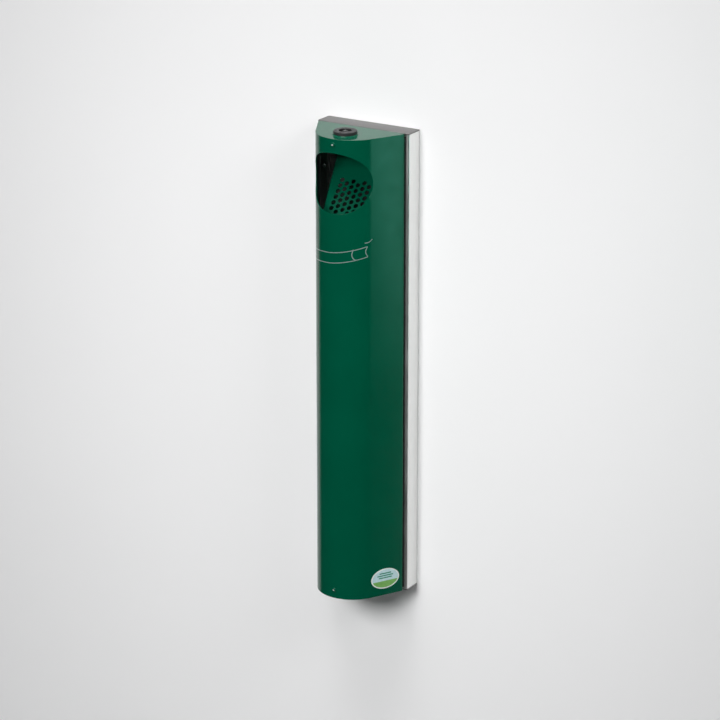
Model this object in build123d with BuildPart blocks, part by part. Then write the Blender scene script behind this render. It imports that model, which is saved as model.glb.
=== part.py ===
"""Wall-mounted ashtray bin: a lipped back channel, a hinged bullet-shaped cover with an oval mouth,
a perforated stub-out plate behind the mouth, and a lift-out liner.

Frame: millimetres, +Z up, wall in the plane y = 0, front towards -Y, origin at the centre of the
wall-screw pattern, which is mid-height.
"""
import os
from math import cos, pi, radians, sin, sqrt, tan

from build123d import *

os.makedirs("parts", exist_ok=True)

# Overall sizes
height = 600.0
overall_depth = 96.0
channel_depth = 26.5
cover_width = 126.0
flat_angle = 28.0            # slant of the cover's flat sides to the depth axis, degrees

# Sheets and clearances
channel_sheet = 1.5
cover_sheet = 1.2
moving_gap = 0.35            # between pieces that move past each other
running_fit = 0.05           # radial, pins and spindles

# Back channel
channel_margin = 3.0         # of the channel beyond the cover, each side
lip_width = 16.0
channel_bend = 2.5
wall_hole = 6.5
wall_hole_across = 80.0
wall_hole_apart = 480.0
drain_hole = 8.0
drain_holes_apart = 44.0

# Cover
cover_gap = 2.0              # between the channel's lips and the cover's rear edge
return_flange = 8.0
cover_bend = 2.0
cap_flange = 14.0
cap_rear_flange = 8.0
lock_boss_radius = 16.6
lock_boss_height = 0.8

# Mouth, measured along the bent sheet
mouth_half_width = 51.6
mouth_half_height = 38.2
mouth_below_top = 56.0
mouth_points = 32

# Stub-out plate: its reference edge is where the top of the perforation's first row would end
grid_sheet = 1.2
grid_angle = 49.0
grid_from_front = 23.0       # the reference edge, behind the nose
grid_edge_below_top = 102.0
grid_tail = 14.0             # plate that goes on below the reference edge
grid_side_gap = 10.33        # beside the reference edge, out to the cover
grid_taper = 0.14
grid_notch_half = 22.0
grid_notch_depth = 30.0
grid_flange = 14.0
grid_hole = 6.0
grid_hole_pitch = 8.0
grid_row_pitch = 7.9
grid_first_row = 3.9
grid_columns = 6
grid_rows = 6
grid_rivet_across = 66.0

# Continuous hinge at the cover's left rear edge
knuckle_radius = 1.4
hinge_pin_radius = 0.75
hinge_corner_inset = 0.4     # of the pin from the cover's widest point
hinge_end_gap = 2.0          # between the hinge and the caps' flanges
knuckle_count = 21
leaf_width = 11.0
leaf_sheet = 0.8
hinge_rivet_count = 7

# Lock
lock_from_front = 29.0       # the lock's axis, behind the nose
lock_disc_radius = 14.8
lock_disc_height = 4.0
lock_disc_edge = 1.0
lock_barrel_radius = 9.0
lock_barrel_length = 19.0    # below the cover's top face
lock_nut_radius = 13.0
lock_nut_height = 4.0
spindle_radius = 6.0
spindle_head_radius = 8.0
spindle_head_height = 3.0
spindle_head_recess = 3.0
key_radius = 4.6             # corner radius of the triangular key post
key_height = 2.5
cam_square = 8.0
cam_sheet = 3.0
cam_wall = 3.6               # of the hook outside the post's slot
cam_half_width = 13.0
cam_hub_radius = 11.0
cam_gap = 0.5                # below the barrel
cam_screw_radius = 2.5
cam_screw_head = 5.0
cam_screw_head_height = 2.5
cam_screw_length = 10.0

# Strike
strike_sheet = 3.0
strike_post_radius = 3.0
strike_slot_gap = 0.8
strike_radius = 26.0         # from the lock's axis to the post's axis
strike_below_top = 11.0
strike_half_width = 18.0
strike_pad_radius = 7.0
strike_flange = 19.0
strike_rivet_across = 22.0
strike_post_below_cam = 2.5

# Liner and its shelf
liner_sheet = 1.0
liner_inset = 7.5            # from the cover's outer face
liner_behind = 4.5           # between the channel's lips and the liner
liner_height = 418.0
liner_bend = 3.0
shelf_sheet = 2.0
shelf_above_bottom = 18.0
shelf_inset = 4.5
shelf_behind = 3.5           # between the channel's lips and the wide part of the shelf
shelf_upstand = 6.0
shelf_upstand_setback = 15.0
shelf_side_gap = 11.0        # inside the cover's rear corners
shelf_neck_gap = 6.0         # between the shelf's neck and the channel's lips
shelf_flange = 14.0
shelf_rivet_across = 50.0

# Liner handle
handle_wire = 2.0            # radius of the wire
handle_pivot_ahead = 8.0     # of the liner's rear face
handle_from_front = 8.5      # the wire's middle, behind the nose
handle_end = 8.5
handle_bend = 4.0
ear_sheet = 2.0
ear_gap = 2.0                # between the handle's arm and the ear
ear_above_rim = 8.0
ear_below_rim = 16.0
ear_reach = 12.0
ear_foot = 12.0
ear_side_gap = 4.05          # between the ear's foot and the liner's side wall

# Rivets: head radius, shank radius, head height
nose_rivet = (3.2, 1.6, 1.2)
frame_rivet = (4.0, 2.0, 1.2)
leaf_rivet = (2.5, 1.2, 0.8)
nose_rivet_below_top = 7.0
nose_rivet_above_bottom = 11.0
nose_rivet_float = 0.1       # the flat rivet ends stand off the curved sheet by this much

# Gasket and label
gasket_width = 6.5
gasket_end_gap = 4.0
label_half_width = 20.5
label_half_height = 13.5
label_sheet = 0.3
label_above_bottom = 22.5
label_from_bend = 21.4

# Places worked out from the sizes above
top = height / 2
bottom = -height / 2
slant = radians(flat_angle)
grid_slope = radians(grid_angle)
cover_rear = channel_depth + cover_gap
cover_half = cover_width / 2
channel_half = cover_half + channel_margin
channel_width = 2 * channel_half
body_depth = overall_depth - cover_rear
nose_radius = (cover_half * cos(slant) - body_depth * sin(slant)) / (1 - sin(slant))
nose_centre = nose_radius - overall_depth
tangent_x = nose_radius * cos(slant)
tangent_y = nose_centre - nose_radius * sin(slant)
arc_half = nose_radius * (pi / 2 - slant)
hinge_x = hinge_corner_inset - cover_half
hinge_y = -(channel_depth + moving_gap + knuckle_radius)
knuckle_cut = knuckle_radius + moving_gap
hinge_bottom = bottom + cap_flange + hinge_end_gap
hinge_length = height - 2 * (cap_flange + hinge_end_gap)
knuckle_pitch = hinge_length / knuckle_count
lock_y = lock_from_front - overall_depth
disc_base = top + lock_boss_height
disc_top = disc_base + lock_disc_height
barrel_end = top - lock_barrel_length
cam_top = barrel_end - cam_gap
strike_top = top - strike_below_top
strike_y = lock_y + strike_radius
slot_half = strike_post_radius + strike_slot_gap
grid_edge_depth = overall_depth - grid_from_front
shelf_rear = channel_depth + shelf_behind
shelf_upstand_rear = shelf_rear + shelf_upstand_setback
shelf_half_width = cover_half - shelf_side_gap
shelf_neck_half = channel_half - lip_width - shelf_neck_gap
liner_rear = channel_depth + liner_behind
shelf_top = bottom + shelf_above_bottom + shelf_sheet
liner_base = shelf_top + moving_gap
liner_rim = liner_base + liner_height
handle_y = -liner_rear - handle_pivot_ahead
handle_z = liner_rim + handle_wire + moving_gap
rear_middle = (Align.CENTER, Align.MAX)


def half_width_at(depth, inset):
    """Half-width of the cover's outline, moved in by inset, at a distance from the wall."""
    if depth > -nose_centre + (nose_radius - inset) * sin(slant):
        return sqrt((nose_radius - inset) ** 2 - (depth + nose_centre) ** 2)
    return cover_half - inset / cos(slant) - (depth - cover_rear) * tan(slant)


def cover_face(inset, rear, right_bend=0, left_bend=0):
    """The cover's outline moved in by inset and closed by a straight line at rear, as a face."""
    radius = nose_radius - inset
    bend_x = radius * cos(slant)
    bend_y = nose_centre - radius * sin(slant)
    rear_x = half_width_at(rear, inset)
    with BuildSketch(mode=Mode.PRIVATE) as outline:
        with BuildLine():
            Polyline((-bend_x, bend_y), (-rear_x, -rear), (rear_x, -rear), (bend_x, bend_y))
            ThreePointArc((bend_x, bend_y), (0, nose_centre - radius), (-bend_x, bend_y))
        make_face()
        if left_bend:
            fillet(outline.vertices().group_by(Axis.Y)[-1].sort_by(Axis.X)[0], left_bend)
        if right_bend:
            fillet(outline.vertices().group_by(Axis.Y)[-1].sort_by(Axis.X)[-1], right_bend)
    return outline.sketch


def x_on_cover(along):
    """X of the point at a distance along the bent sheet from the nose line."""
    if abs(along) <= arc_half:
        return nose_radius * sin(along / nose_radius)
    side = 1 if along > 0 else -1
    return side * (tangent_x + (abs(along) - arc_half) * sin(slant))


def rivet(plane, size, grip, upset):
    """Rivet with its head on the plane, its shank through grip, and an upset end if it has one."""
    head_radius, shank_radius, head_height = size
    with BuildPart(mode=Mode.PRIVATE) as one:
        with BuildSketch(plane):
            Circle(head_radius)
        extrude(amount=head_height)
        head_edge = one.faces().sort_by(Axis(plane.origin, plane.z_dir))[-1].edges()
        fillet(head_edge, 0.8 * head_height)
        with BuildSketch(plane):
            Circle(shank_radius)
        extrude(amount=-grip)
        if upset:
            with BuildSketch(plane.offset(-grip)):
                Circle(1.4 * shank_radius)
            extrude(amount=-head_height)
    return one.part


def drills(planes, radius, depth):
    """Round bars from each plane down through depth, to be taken out of a sheet."""
    with BuildPart(mode=Mode.PRIVATE) as bars:
        for plane in planes:
            with BuildSketch(plane):
                Circle(radius)
            extrude(amount=-depth)
    return bars.part


def facing_front(points, depth):
    """A plane facing the front at each (x, z), at a distance from the wall."""
    return [Plane(origin=(x, -depth, z), x_dir=(1, 0, 0), z_dir=(0, -1, 0)) for x, z in points]


def finish(part, name):
    """Label a finished piece and write its STEP file."""
    part.label = name
    export_step(part, f"parts/{name}.step")


def finish_rivets(planes, size, grip, upset, name):
    """Write a row of identical rivets as one node."""
    solids = [rivet(plane, size, grip, upset) for plane in planes]
    with BuildPart() as row:
        add(solids)
    finish(row.part, name)


# Widths that follow the cover's outline
grid_edge_half = half_width_at(grid_edge_depth, 0) - grid_side_gap
ear_x = half_width_at(liner_rear, liner_inset + liner_sheet) - ear_side_gap - ear_foot - ear_sheet
handle_half_width = ear_x - ear_gap - handle_wire

# Rivet places, shared by the rivets and the sheets that they join
strike_face = channel_sheet + strike_sheet
grid_face = channel_sheet + grid_sheet
shelf_face = channel_sheet + shelf_sheet
leaf_face = channel_depth + leaf_sheet
grid_top = top - grid_edge_below_top + (grid_edge_depth - grid_face) * tan(grid_slope) + grid_flange
strike_rivet_z = strike_top - 0.6 * strike_flange
grid_rivet_z = grid_top - 0.4 * grid_flange
shelf_rivet_z = bottom + shelf_above_bottom - shelf_flange / 2
leaf_rivet_x = hinge_x + 0.62 * leaf_width
leaf_rivet_pitch = hinge_length / hinge_rivet_count
strike_rivets_at = facing_front([(side * strike_rivet_across / 2, strike_rivet_z) for side in (-1, 1)],
                                strike_face)
grid_rivets_at = facing_front([(side * grid_rivet_across / 2, grid_rivet_z) for side in (-1, 1)],
                              grid_face)
shelf_rivets_at = facing_front([(side * shelf_rivet_across / 2, shelf_rivet_z) for side in (-1, 1)],
                               shelf_face)
leaf_rivets_at = facing_front([(leaf_rivet_x, hinge_bottom + (i + 0.5) * leaf_rivet_pitch)
                               for i in range(hinge_rivet_count)], leaf_face)
nose_rivets_at = facing_front([(0, top - nose_rivet_below_top), (0, bottom + nose_rivet_above_bottom)],
                              overall_depth)
ear_rivets_at = facing_front([(side * (ear_x + ear_sheet + ear_foot / 2), liner_rim - ear_below_rim / 2)
                              for side in (-1, 1)], liner_rear + liner_sheet + ear_sheet)


# Back channel: a C of sheet with lips turned in at the front
with BuildPart() as back_channel:
    with BuildSketch(Plane.XY.offset(bottom + channel_sheet)):
        with Locations((0, -channel_depth / 2)):
            RectangleRounded(channel_width, channel_depth, channel_bend)
            RectangleRounded(channel_width - 2 * channel_sheet, channel_depth - 2 * channel_sheet,
                             channel_bend - channel_sheet, mode=Mode.SUBTRACT)
        with Locations((0, channel_sheet / 2 - channel_depth)):
            Rectangle(channel_width - 2 * lip_width, channel_sheet, mode=Mode.SUBTRACT)
    extrude(amount=height - 2 * channel_sheet)
    with BuildSketch(Plane.XZ):
        with GridLocations(wall_hole_across, wall_hole_apart, 2, 2):
            Circle(wall_hole / 2)
    extrude(amount=channel_sheet, mode=Mode.SUBTRACT)
    add(drills(strike_rivets_at, frame_rivet[1], strike_face), mode=Mode.SUBTRACT)
    add(drills(grid_rivets_at, frame_rivet[1], grid_face), mode=Mode.SUBTRACT)
    add(drills(shelf_rivets_at, frame_rivet[1], shelf_face), mode=Mode.SUBTRACT)
    add(drills(leaf_rivets_at, leaf_rivet[1], leaf_sheet + channel_sheet), mode=Mode.SUBTRACT)
finish(back_channel.part, "back_channel")


# End plates of the channel; the lower one drains
with BuildPart() as top_end_cap:
    with BuildSketch(Plane.XY.offset(top - channel_sheet)):
        with Locations((0, -channel_depth / 2)):
            RectangleRounded(channel_width, channel_depth, channel_bend)
    extrude(amount=channel_sheet)
finish(top_end_cap.part, "top_end_cap")

with BuildPart() as bottom_end_cap:
    with BuildSketch(Plane.XY.offset(bottom)):
        with Locations((0, -channel_depth / 2)):
            RectangleRounded(channel_width, channel_depth, channel_bend)
            with GridLocations(drain_holes_apart, 0, 2, 1):
                Circle(drain_hole / 2, mode=Mode.SUBTRACT)
    extrude(amount=channel_sheet)
finish(bottom_end_cap.part, "bottom_end_cap")


# Gasket on the closing lip
with BuildPart() as edge_gasket:
    with BuildSketch(Plane.XY.offset(bottom + gasket_end_gap)):
        with Locations((cover_half - cover_gap / 2, -channel_depth)):
            Rectangle(gasket_width, cover_gap - moving_gap, align=Align.MAX)
    extrude(amount=height - 2 * gasket_end_gap)
finish(edge_gasket.part, "edge_gasket")


# Strike bracket, its post and rivets
with BuildPart() as strike_bracket:
    with BuildSketch(Plane.XY.offset(strike_top - strike_sheet)):
        with Locations((0, -channel_sheet)):
            Rectangle(2 * strike_half_width, channel_depth - channel_sheet, align=rear_middle)
        with Locations((0, strike_y)):
            Circle(strike_pad_radius)
        make_hull()
        with Locations((0, strike_y)):
            Circle(strike_post_radius, mode=Mode.SUBTRACT)
    extrude(amount=strike_sheet)
    with BuildSketch(Plane.XY.offset(strike_top - strike_flange)):
        with Locations((0, -channel_sheet)):
            Rectangle(2 * strike_half_width, strike_sheet, align=rear_middle)
    extrude(amount=strike_flange)
    add(drills(strike_rivets_at, frame_rivet[1], strike_sheet), mode=Mode.SUBTRACT)
finish(strike_bracket.part, "strike_bracket")

strike_post_end = cam_top - cam_sheet - strike_post_below_cam
with BuildPart() as strike_post:
    with BuildSketch(Plane.XY.offset(strike_post_end)):
        with Locations((0, strike_y)):
            Circle(strike_post_radius)
    extrude(amount=strike_top - strike_post_end)
    with BuildSketch(Plane.XY.offset(strike_top)):
        with Locations((0, strike_y)):
            Circle(1.5 * strike_post_radius)
    extrude(amount=strike_post_radius / 3)
finish(strike_post.part, "strike_post")
finish_rivets(strike_rivets_at, frame_rivet, strike_face, False, "strike_rivets")


# Stub-out plate: bent sheet, perforated, with two tabs riveted to the channel's web
def grid_point(along, behind):
    """(y, z) at a distance along the slope from the reference edge, and behind the sheet's face."""
    return (-grid_edge_depth + along * cos(grid_slope) + behind * sin(grid_slope),
            top - grid_edge_below_top + along * sin(grid_slope) - behind * cos(grid_slope))


def grid_height_at(depth, behind):
    """Z of the sheet's face, or of the surface behind it, at a distance from the wall."""
    drop = behind / cos(grid_slope)
    return top - grid_edge_below_top + (grid_edge_depth - depth) * tan(grid_slope) - drop


grid_plane = Plane(origin=(0, -grid_edge_depth, top - grid_edge_below_top), x_dir=(1, 0, 0),
                   z_dir=(0, -sin(grid_slope), cos(grid_slope)))
grid_length = (grid_edge_depth - channel_sheet) / cos(grid_slope) + grid_flange
with BuildPart() as stub_grid:
    with BuildSketch(Plane.YZ):
        with BuildLine():
            Polyline(grid_point(-grid_tail, 0), (-grid_face, grid_height_at(grid_face, 0)),
                     (-grid_face, grid_top), (-channel_sheet, grid_top),
                     (-channel_sheet, grid_height_at(channel_sheet, grid_sheet)),
                     grid_point(-grid_tail, grid_sheet), close=True)
        make_face()
    extrude(amount=channel_half, both=True)
    with BuildSketch(grid_plane):
        low_half = grid_edge_half - grid_taper * grid_tail
        high_half = grid_edge_half + grid_taper * grid_length
        Polygon((-low_half, -grid_tail), (low_half, -grid_tail), (high_half, grid_length),
                (-high_half, grid_length), align=None)
        with Locations((0, grid_length)):
            Rectangle(2 * grid_notch_half, 2 * grid_notch_depth, mode=Mode.SUBTRACT)
    extrude(amount=height, both=True, mode=Mode.INTERSECT)
    with BuildSketch(grid_plane):
        for column in range(grid_columns):
            across = (column - (grid_columns - 1) / 2) * grid_hole_pitch
            first = grid_first_row + (grid_row_pitch / 2 if column % 2 == 0 else 0)
            with Locations([(across, first + row * grid_row_pitch) for row in range(grid_rows)]):
                Circle(grid_hole / 2)
    extrude(amount=-2 * grid_sheet, mode=Mode.SUBTRACT)
    add(drills(grid_rivets_at, frame_rivet[1], grid_sheet), mode=Mode.SUBTRACT)
finish(stub_grid.part, "stub_grid")
finish_rivets(grid_rivets_at, frame_rivet, grid_face, False, "grid_rivets")


# Liner shelf: plate with an upstand round its front and a flange on the web
with BuildPart() as liner_shelf:
    with BuildSketch(Plane.XY.offset(shelf_top - shelf_sheet)):
        add(cover_face(shelf_inset, shelf_rear))
        Rectangle(2 * shelf_half_width, 3 * overall_depth, mode=Mode.INTERSECT)
        with Locations((0, -channel_sheet)):
            Rectangle(2 * shelf_neck_half, shelf_rear, align=rear_middle)
    extrude(amount=shelf_sheet)
    with BuildSketch(Plane.XY.offset(shelf_top)):
        add(cover_face(shelf_inset, shelf_rear))
        add(cover_face(shelf_inset + shelf_sheet, shelf_rear), mode=Mode.SUBTRACT)
        with Locations((0, -shelf_upstand_rear)):
            Rectangle(channel_width, overall_depth, align=rear_middle, mode=Mode.INTERSECT)
    extrude(amount=shelf_upstand)
    with BuildSketch(Plane.XY.offset(shelf_top - shelf_sheet)):
        with Locations((0, -channel_sheet)):
            Rectangle(2 * shelf_neck_half, shelf_sheet, align=rear_middle)
    extrude(amount=-shelf_flange)
    add(drills(shelf_rivets_at, frame_rivet[1], shelf_sheet), mode=Mode.SUBTRACT)
finish(liner_shelf.part, "liner_shelf")
finish_rivets(shelf_rivets_at, frame_rivet, shelf_face, False, "shelf_rivets")


# Continuous hinge: two leaves with alternate knuckles on one pin
def knuckle_bottom(index):
    return hinge_bottom + index * knuckle_pitch


own_length = knuckle_pitch - moving_gap
with BuildPart() as hinge_frame_leaf:
    with BuildSketch(Plane.XY.offset(hinge_bottom)):
        with Locations((hinge_x, -channel_depth)):
            Rectangle(leaf_width, leaf_sheet, align=(Align.MIN, Align.MAX))
    extrude(amount=hinge_length - moving_gap)
    for index in range(0, knuckle_count, 2):
        with BuildSketch(Plane.XY.offset(knuckle_bottom(index))):
            with Locations((hinge_x, hinge_y)):
                Circle(knuckle_radius)
        extrude(amount=own_length)
    for index in range(1, knuckle_count, 2):
        with BuildSketch(Plane.XY.offset(knuckle_bottom(index) - moving_gap)):
            with Locations((hinge_x, hinge_y)):
                Circle(knuckle_cut + moving_gap)
        extrude(amount=knuckle_pitch + moving_gap, mode=Mode.SUBTRACT)
    with BuildSketch(Plane.XY.offset(hinge_bottom)):
        with Locations((hinge_x, hinge_y)):
            Circle(hinge_pin_radius)
    extrude(amount=hinge_length, mode=Mode.SUBTRACT)
    add(drills(leaf_rivets_at, leaf_rivet[1], leaf_sheet), mode=Mode.SUBTRACT)
finish(hinge_frame_leaf.part, "hinge_frame_leaf")
finish_rivets(leaf_rivets_at, leaf_rivet, leaf_sheet + channel_sheet, True, "hinge_leaf_rivets")

# The cover's leaf lies against the inner face of the left flat
leaf_offset = cover_sheet - (hinge_corner_inset * cos(slant) + (cover_rear + hinge_y) * sin(slant))
leaf_plane = Plane(origin=(hinge_x, hinge_y, hinge_bottom), x_dir=(sin(slant), -cos(slant), 0),
                   z_dir=(0, 0, 1))
with BuildPart() as hinge_cover_leaf:
    with BuildSketch(leaf_plane):
        with Locations((0, leaf_offset)):
            Rectangle(leaf_width, leaf_sheet, align=Align.MIN)
    extrude(amount=hinge_length - moving_gap)
    for index in range(1, knuckle_count, 2):
        with BuildSketch(Plane.XY.offset(knuckle_bottom(index))):
            with Locations((hinge_x, hinge_y)):
                Circle(knuckle_radius)
        extrude(amount=own_length)
    for index in range(0, knuckle_count, 2):
        with BuildSketch(Plane.XY.offset(knuckle_bottom(index) - moving_gap)):
            with Locations((hinge_x, hinge_y)):
                Circle(knuckle_cut + moving_gap)
        extrude(amount=knuckle_pitch + moving_gap, mode=Mode.SUBTRACT)
    with BuildSketch(Plane.XY.offset(hinge_bottom)):
        with Locations((hinge_x, hinge_y)):
            Circle(hinge_pin_radius + running_fit)
    extrude(amount=hinge_length, mode=Mode.SUBTRACT)
finish(hinge_cover_leaf.part, "hinge_cover_leaf")

with BuildPart() as hinge_pin:
    with BuildSketch(Plane.XY.offset(hinge_bottom)):
        with Locations((hinge_x, hinge_y)):
            Circle(hinge_pin_radius)
    extrude(amount=hinge_length - moving_gap)
finish(hinge_pin.part, "hinge_pin")


# Front shell: bullet-shaped sheet, open at the back, with a return flange on its closing edge
flange_tip = half_width_at(cover_rear, 0) - return_flange
with BuildPart() as front_shell:
    with BuildSketch(Plane.XY.offset(bottom)):
        add(cover_face(0, cover_rear, right_bend=cover_bend))
        add(cover_face(cover_sheet, cover_rear + cover_sheet, right_bend=cover_bend - cover_sheet),
            mode=Mode.SUBTRACT)
        with Locations((flange_tip, -cover_rear)):
            Rectangle(channel_width, cover_sheet, align=Align.MAX, mode=Mode.SUBTRACT)
        with Locations((hinge_x, hinge_y)):
            Circle(knuckle_cut, mode=Mode.SUBTRACT)
    extrude(amount=height)
    with BuildSketch(Plane.XZ.offset(-tangent_y / 2)):
        mouth_edge = []
        for point in range(mouth_points):
            angle = 2 * pi * point / mouth_points
            mouth_edge.append((x_on_cover(mouth_half_width * cos(angle)),
                               top - mouth_below_top + mouth_half_height * sin(angle)))
        with BuildLine():
            Spline(mouth_edge, periodic=True)
        make_face()
    extrude(amount=overall_depth, mode=Mode.SUBTRACT)
    add(drills(nose_rivets_at, nose_rivet[1], 2 * cover_sheet), mode=Mode.SUBTRACT)
finish(front_shell.part, "front_shell")


# Caps of the cover: flat plates in the shell's ends, with flanges against the shell
def cap(outside, inward, nose_drilling):
    """Cap with its outer face at z = outside; inward is -1 at the top and +1 at the bottom."""
    with BuildPart(mode=Mode.PRIVATE) as piece:
        with BuildSketch(Plane.XY.offset(outside)):
            add(cover_face(cover_sheet, cover_rear + cover_sheet, right_bend=cover_bend - cover_sheet))
            with Locations((flange_tip, -cover_rear)):
                Rectangle(flange_tip + cover_half - cover_sheet, cover_sheet, align=Align.MAX)
            with Locations((hinge_x, hinge_y)):
                Circle(knuckle_cut, mode=Mode.SUBTRACT)
        extrude(amount=inward * cap_flange)
        with BuildSketch(Plane.XY.offset(outside + inward * cover_sheet)):
            add(cover_face(2 * cover_sheet, cover_rear + cover_sheet))
        extrude(amount=inward * cap_flange, mode=Mode.SUBTRACT)
        with BuildSketch(Plane.XY.offset(outside + inward * cap_rear_flange)):
            with Locations((0, -cover_rear)):
                Rectangle(channel_width, cover_sheet, align=rear_middle)
        extrude(amount=inward * cap_flange, mode=Mode.SUBTRACT)
        add(drills([nose_drilling], nose_rivet[1], 3 * cover_sheet), mode=Mode.SUBTRACT)
    return piece.part


plain_top = cap(top, -1, nose_rivets_at[0])
with BuildPart() as top_cap:
    add(plain_top)
    with BuildSketch(Plane.XY.offset(top)):
        with Locations((0, lock_y)):
            Circle(lock_boss_radius)
    extrude(amount=lock_boss_height, taper=45)
    with BuildSketch(Plane.XY.offset(disc_base)):
        with Locations((0, lock_y)):
            Circle(lock_barrel_radius + running_fit)
    extrude(amount=-cap_flange, mode=Mode.SUBTRACT)
finish(top_cap.part, "top_cap")

plain_bottom = cap(bottom, 1, nose_rivets_at[1])
with BuildPart() as bottom_cap:
    add(plain_bottom)
    with BuildSketch(Plane.XY.offset(bottom)):
        with Locations((0, nose_centre)):
            Circle(drain_hole / 2)
    extrude(amount=cover_sheet, mode=Mode.SUBTRACT)
finish(bottom_cap.part, "bottom_cap")
finish_rivets(nose_rivets_at, nose_rivet, 2 * cover_sheet + nose_rivet_float, True, "cap_rivets")


# Lock: body and nut in the top cap; insert, hooked cam and screw turn together
head_base = disc_top - spindle_head_recess - spindle_head_height
with BuildPart() as lock_body:
    with BuildSketch(Plane.XY.offset(disc_base)):
        with Locations((0, lock_y)):
            Circle(lock_disc_radius)
    extrude(amount=lock_disc_height)
    fillet(lock_body.faces().sort_by(Axis.Z)[-1].edges(), lock_disc_edge)
    with BuildSketch(Plane.XY.offset(barrel_end)):
        with Locations((0, lock_y)):
            Circle(lock_barrel_radius)
    extrude(amount=disc_base - barrel_end)
    with BuildSketch(Plane.XY.offset(disc_top)):
        with Locations((0, lock_y)):
            Circle(spindle_head_radius + running_fit)
    extrude(amount=head_base - disc_top, mode=Mode.SUBTRACT)
    with BuildSketch(Plane.XY.offset(disc_top)):
        with Locations((0, lock_y)):
            Circle(spindle_radius + running_fit)
    extrude(amount=barrel_end - disc_top, mode=Mode.SUBTRACT)
finish(lock_body.part, "lock_body")

with BuildPart() as lock_nut:
    with BuildSketch(Plane.XY.offset(top - cover_sheet - lock_nut_height)):
        with Locations((0, lock_y)):
            RegularPolygon(lock_nut_radius, 6)
            Circle(lock_barrel_radius, mode=Mode.SUBTRACT)
    extrude(amount=lock_nut_height)
finish(lock_nut.part, "lock_nut")

with BuildPart() as lock_insert:
    with BuildSketch(Plane.XY.offset(head_base)):
        with Locations((0, lock_y)):
            Circle(spindle_head_radius)
    extrude(amount=spindle_head_height)
    with BuildSketch(Plane.XY.offset(head_base + spindle_head_height)):
        with Locations((0, lock_y)):
            RegularPolygon(key_radius, 3)
    extrude(amount=key_height)
    with BuildSketch(Plane.XY.offset(head_base)):
        with Locations((0, lock_y)):
            Circle(spindle_radius)
    extrude(amount=cam_top - head_base)
    with BuildSketch(Plane.XY.offset(cam_top)):
        with Locations((0, lock_y)):
            Rectangle(cam_square, cam_square)
    extrude(amount=-cam_sheet)
    with BuildSketch(Plane.XY.offset(cam_top - cam_sheet)):
        with Locations((0, lock_y)):
            Circle(cam_screw_radius)
    extrude(amount=cam_screw_length, mode=Mode.SUBTRACT)
finish(lock_insert.part, "lock_insert")

# The cam's slot is an arc about the lock's axis, open on the side that meets the post
cam_reach = strike_radius + slot_half + cam_wall
with BuildSketch() as cam_slot:
    Circle(strike_radius + slot_half)
    Circle(strike_radius - slot_half, mode=Mode.SUBTRACT)
    with Locations((0, -slot_half)):
        Rectangle(2 * cam_reach, cam_reach, align=(Align.CENTER, Align.MIN), mode=Mode.INTERSECT)
cam_plane = Plane(origin=(0, lock_y, cam_top - cam_sheet))
with BuildPart() as lock_cam:
    with BuildSketch(cam_plane):
        Circle(cam_reach)
        Rectangle(cam_reach, 2 * cam_half_width, align=(Align.MIN, Align.CENTER), mode=Mode.INTERSECT)
        Circle(cam_hub_radius)
        add(cam_slot.sketch, mode=Mode.SUBTRACT)
        Rectangle(cam_square, cam_square, mode=Mode.SUBTRACT)
    extrude(amount=cam_sheet)
finish(lock_cam.part, "lock_cam")

with BuildPart() as cam_screw:
    with BuildSketch(cam_plane):
        Circle(cam_screw_head)
    extrude(amount=-cam_screw_head_height)
    with BuildSketch(cam_plane):
        Circle(cam_screw_radius)
    extrude(amount=cam_screw_length)
finish(cam_screw.part, "cam_screw")


# Label plate, low on the right flat
along_flat = Vector(sin(slant), cos(slant), 0)
label_centre = Vector(tangent_x, tangent_y, bottom + label_above_bottom) + along_flat * label_from_bend
label_plane = Plane(origin=label_centre, x_dir=along_flat, z_dir=(cos(slant), -sin(slant), 0))
with BuildPart() as label_plate:
    with BuildSketch(label_plane):
        Ellipse(label_half_width, label_half_height)
    extrude(amount=label_sheet)
finish(label_plate.part, "label_plate")


# Liner: bullet-shaped bucket
with BuildPart() as liner:
    with BuildSketch(Plane.XY.offset(liner_base)):
        add(cover_face(liner_inset, liner_rear, liner_bend, liner_bend))
    extrude(amount=liner_height)
    with BuildSketch(Plane.XY.offset(liner_base + liner_sheet)):
        add(cover_face(liner_inset + liner_sheet, liner_rear + liner_sheet,
                       liner_bend - liner_sheet, liner_bend - liner_sheet))
    extrude(amount=liner_height, mode=Mode.SUBTRACT)
    add(drills(ear_rivets_at, leaf_rivet[1], ear_sheet + liner_sheet), mode=Mode.SUBTRACT)
finish(liner.part, "liner")

# Ears on the liner's rear wall, and the wire handle that turns in them
ear_back = liner_rear + liner_sheet
with BuildPart() as handle_ears:
    for side in (-1, 1):
        with BuildSketch(Plane.XY.offset(liner_rim - ear_below_rim)):
            with Locations((side * (ear_x + ear_sheet + ear_foot) - (ear_sheet + ear_foot) * (side > 0),
                            -ear_back)):
                Rectangle(ear_sheet + ear_foot, ear_sheet, align=(Align.MIN, Align.MAX))
        extrude(amount=ear_below_rim)
        with BuildSketch(Plane.XY.offset(liner_rim - ear_below_rim)):
            with Locations((side * (ear_x + ear_sheet / 2), -ear_back)):
                Rectangle(ear_sheet, ear_reach, align=rear_middle)
        extrude(amount=ear_below_rim + ear_above_rim)
    with BuildSketch(Plane.YZ.offset(-channel_half)):
        with Locations((handle_y, handle_z)):
            Circle(handle_wire + running_fit)
    extrude(amount=channel_width, mode=Mode.SUBTRACT)
    add(drills(ear_rivets_at, leaf_rivet[1], ear_sheet), mode=Mode.SUBTRACT)
finish(handle_ears.part, "handle_ears")
finish_rivets(ear_rivets_at, leaf_rivet, ear_sheet + liner_sheet, True, "ear_rivets")

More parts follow.
